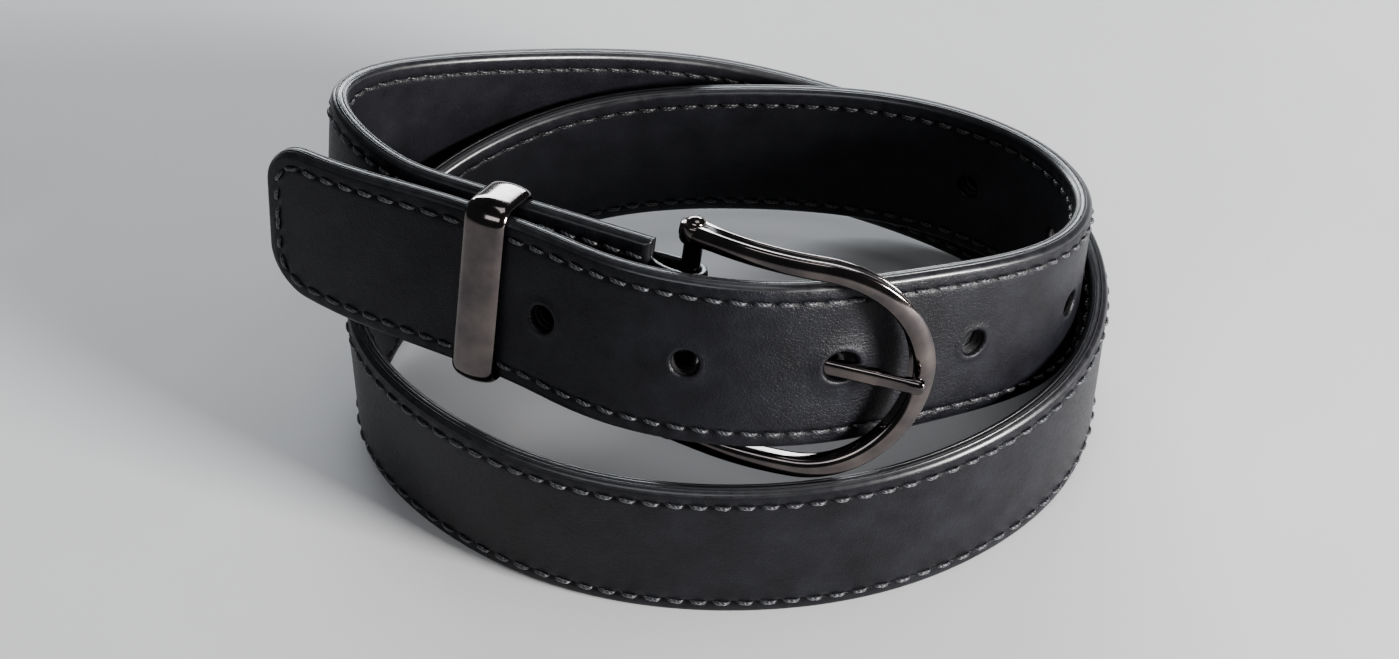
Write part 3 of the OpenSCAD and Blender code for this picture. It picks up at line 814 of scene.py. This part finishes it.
def buckle_frame():
    hw, hd = RAIL_W / 2, RAIL_D / 2
    lip = [(0.50, -0.80), (0.54, -0.60), (0.58, -0.16), (0.62, -0.05), (0.70, 0.0)]
    outer_side = [(1.10, 0.0), (1.30, -0.03), (1.43, -0.12), (1.52, -0.30), (1.61, -0.6),
                  (1.72, -1.0), (1.79, -1.45), (1.81, -1.9), (1.77, -2.35), (1.65, -2.78),
                  (1.47, -3.08), (1.26, -3.27), (1.0, -3.37), (0.6, -3.4), (0.0, -3.4)]
    top_half = lip + outer_side
    section = [(hw + n, c) for c, n in top_half] + [(hw + n, -c * 0.985) for c, n in reversed(top_half[:-1])]
    section = np.array(section)
    cx = REACH - FRAME_HALF
    rc = FRAME_HALF - hw
    arm = np.concatenate([[-1.6, -1.2, -0.6, 0], np.linspace(0.8, cx, 26)])
    path = [(a, rc, 0.0, 1.0) for a in arm]
    path += [(cx + rc * math.sin(t), rc * math.cos(t), math.sin(t), math.cos(t))
             for t in np.linspace(0, math.pi, 90)[1:-1]]
    path += [(a, -rc, 0.0, -1.0) for a in reversed(arm)]
    rings = []
    for a, b, na, nb in path:
        near = max(0.0, a)
        grow = 1 + 0.30 * math.exp(-(near / 3.0) ** 2) if abs(b) > rc - 0.01 else 1.0
        shut = min(1.0, max(0.0, (near - 3.2) / 1.2)) * min(1.0, max(0.0, (37.4 - near) / 1.8))
        n = section[:, 0].copy()
        c = section[:, 1].copy()
        groove = np.abs(c) < 0.71
        n[groove] = hw - (hw - n[groove]) * shut
        if a < 0:
            grow *= math.sqrt(max(0.2, 1 - (a / 2.4) ** 2))
        rings.append(bowed(a + na * n, b + nb * n, c * grow))
    ob = sweep("buckle_frame_rail", rings, "buckle", [METAL, GROOVE_SHADE])
    m = len(section)
    # The groove-bottom faces take the painted shade material.
    for p in ob.data.polygons:
        k = {v % m for v in p.vertices}
        if len(p.vertices) == 4 and k <= {0, 1, 2, m - 1, m - 2, m - 3}:
            p.material_index = 1
    fix_normals(ob)
    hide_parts("buckle_frame")
    for name, s in (("buckle_arm_end_upper", 1), ("buckle_arm_end_lower", -1)):
        prof = [(1.0, 16.62), (2.1, 16.62), (2.38, 16.75), (2.5, 17.1),
                (2.5, 19.5), (2.42, 19.8), (2.15, 19.97), (1.0, 20.0)]
        e = sweep(name, lathe([(r, s * y) for r, y in prof], 48), "buckle", [METAL])
        fix_normals(e)


buckle_frame()


def bar():
    end = [(BAR_R, 12), (BAR_R, 19.8), (1.66, 19.9), (1.62, 20.12), (1.45, 20.4), (1.1, 20.68),
           (0.6, 20.87), (0.05, 20.93)]
    prof = [(r, -y) for r, y in reversed(end)] + [(BAR_R, 0)] + end
    ob = sweep("bar_pin", lathe(prof, 40), "buckle", [METAL])
    fix_normals(ob)
    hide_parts("buckle_bar")


bar()


# ---------------------------------------------------------------- prong
ROOT_C = 0.6


def prong():
    end_a = REACH - 1.4
    rest_a = REACH - RAIL_W
    rest_c = ARCH - ARC_R + math.sqrt((ARC_R + RAIL_D / 2) ** 2 - (rest_a - REACH / 2) ** 2) + 1.15 + 0.35
    end_c = ROOT_C + (rest_c - ROOT_C) * end_a / rest_a
    pitch = math.atan2(end_c - ROOT_C, end_a)
    length = math.hypot(end_a, end_c - ROOT_C)
    th = np.linspace(0, 2 * math.pi, 32, endpoint=False)
    stations = [(-1.6, 1.2, 0.9, 0), (-0.5, 1.38, 1.1, 0), (1.5, 1.42, 1.2, 0), (6, 1.42, 1.3, 0),
                (12, 1.42, 1.3, 0), (18, 1.42, 1.3, 0), (24, 1.40, 1.28, 0), (29, 1.38, 1.24, 0),
                (32.6, 1.40, 1.2, 0), (33.0, 1.38, 1.17, 0), (33.4, 1.28, 1.02, 0.10), (33.8, 1.25, 0.98, 0.13),
                (36, 1.24, 0.99, 0.12), (37.8, 1.26, 1.02, 0.1), (38.6, 1.32, 1.06, 0.06), (39.2, 1.37, 1.10, 0.03),
                (39.7, 1.38, 1.12, 0.02), (40.2, 1.31, 1.08, 0), (40.6, 1.15, 0.95, 0), (40.9, 0.88, 0.74, 0),
                (41.05, 0.54, 0.45, 0), (41.12, 0.18, 0.15, 0)]    # along, half width, half height, raised
    rings = []
    for l, hw, hh, up in stations:
        e = 0.62 if l < 38.5 else 0.9
        c, s = np.cos(th), np.sin(th)
        b = hw * np.sign(c) * np.abs(c) ** e
        h = np.where(s > 0, hh * 0.92 * np.sign(s) * np.abs(s) ** (e * 0.8),
                     hh * np.sign(s) * np.abs(s) ** 0.95) + up
        a = l * math.cos(pitch) - h * math.sin(pitch)
        q = ROOT_C + l * math.sin(pitch) + h * math.cos(pitch)
        rings.append(at_bar(a, b, q))
    ob = sweep("prong_tongue", rings, "prong", [METAL])
    fix_normals(ob)
    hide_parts("prong")
    prof = np.array([(1.69, -1.6), (1.75, -1.8), (1.95, -1.9), (2.75, -1.9), (2.95, -1.75), (3.0, -1.4),
                     (3.0, 1.4), (2.95, 1.75), (2.75, 1.9), (1.95, 1.9), (1.75, 1.8), (1.69, 1.6)])
    th = np.linspace(0, 2 * math.pi, 48, endpoint=False)
    rings = [at_bar(prof[:, 0] * math.cos(t), prof[:, 1], prof[:, 0] * math.sin(t)) for t in th]
    eye = sweep("prong_eye", rings, "prong", [METAL], closed=True)
    fix_normals(eye)


prong()


# ---------------------------------------------------------------- set, light, camera
def floor_look(nt, bsdf):
    co = node(nt, "ShaderNodeTexCoord")
    n = node(nt, "ShaderNodeTexNoise", in_Scale=14.0, in_Detail=4.0)
    nt.links.new(co.outputs["Object"], n.inputs["Vector"])
    base = ramp(nt, n.outputs["Fac"], [(0.3, (0.545, 0.545, 0.555, 1)), (0.7, (0.58, 0.58, 0.585, 1))])
    nt.links.new(base, bsdf.inputs["Base Color"])
    bsdf.inputs["Roughness"].default_value = 0.7
    bsdf.inputs["Specular IOR Level"].default_value = 0.2


side = 4.0
floor_mesh = bpy.data.meshes.new("floor")
floor_mesh.from_pydata([(-side, -side, 0), (side, -side, 0), (side, side, 0), (-side, side, 0)],
                       [], [(0, 1, 2, 3)])
floor_mesh.materials.append(material("floor", floor_look))
floor = bpy.data.objects.new("floor", floor_mesh)
bpy.context.scene.collection.objects.link(floor)

world = bpy.data.worlds.new("studio")
world.use_nodes = True
world.node_tree.nodes["Background"].inputs["Color"].default_value = (0.86, 0.89, 0.95, 1)
world.node_tree.nodes["Background"].inputs["Strength"].default_value = 0.10
bpy.context.scene.world = world


def area(name, at, look, size_x, size_y, power, color):
    data = bpy.data.lights.new(name, "AREA")
    data.shape = "RECTANGLE"
    data.size, data.size_y = size_x, size_y
    data.energy = power
    data.color = color
    ob = bpy.data.objects.new(name, data)
    bpy.context.scene.collection.objects.link(ob)
    ob.location = at
    ob.rotation_mode = "QUATERNION"
    ob.rotation_quaternion = (Vector(look) - Vector(at)).to_track_quat("-Z", "Y")
    return ob


area("key_right", (0.80, -0.46, 0.30), (0.01, -0.02, 0.03), 0.26, 0.26, 25.0, (1.0, 0.985, 0.96))
area("back_soft", (-0.05, 0.95, 0.30), (0.0, 0.0, 0.03), 1.1, 0.26, 12.0, (0.93, 0.97, 1.0))
area("top_soft", (0.25, 0.10, 0.95), (0.0, 0.0, 0.03), 0.5, 0.5, 2.0, (0.97, 0.98, 1.0))
area("front_soft", (-0.30, -0.80, 0.80), (0.0, 0.0, 0.04), 0.8, 0.35, 3.2, (0.96, 0.98, 1.0))

cam_data = bpy.data.cameras.new("camera")
cam_data.sensor_width = 36
cam_data.lens = 69.48
cam_data.clip_start = 0.01
cam = bpy.data.objects.new("camera", cam_data)
bpy.context.scene.collection.objects.link(cam)
target = Vector((0.00133, 0.00007, 0.017))
elev = math.radians(44)
cam.location = target + Vector((0, -math.cos(elev), math.sin(elev))) * 0.490
cam.rotation_mode = "QUATERNION"
cam.rotation_quaternion = (target - cam.location).to_track_quat("-Z", "Y")
bpy.context.scene.camera = cam
bpy.context.scene.view_settings.view_transform = "AgX"
bpy.context.scene.view_settings.look = "AgX - Medium High Contrast"
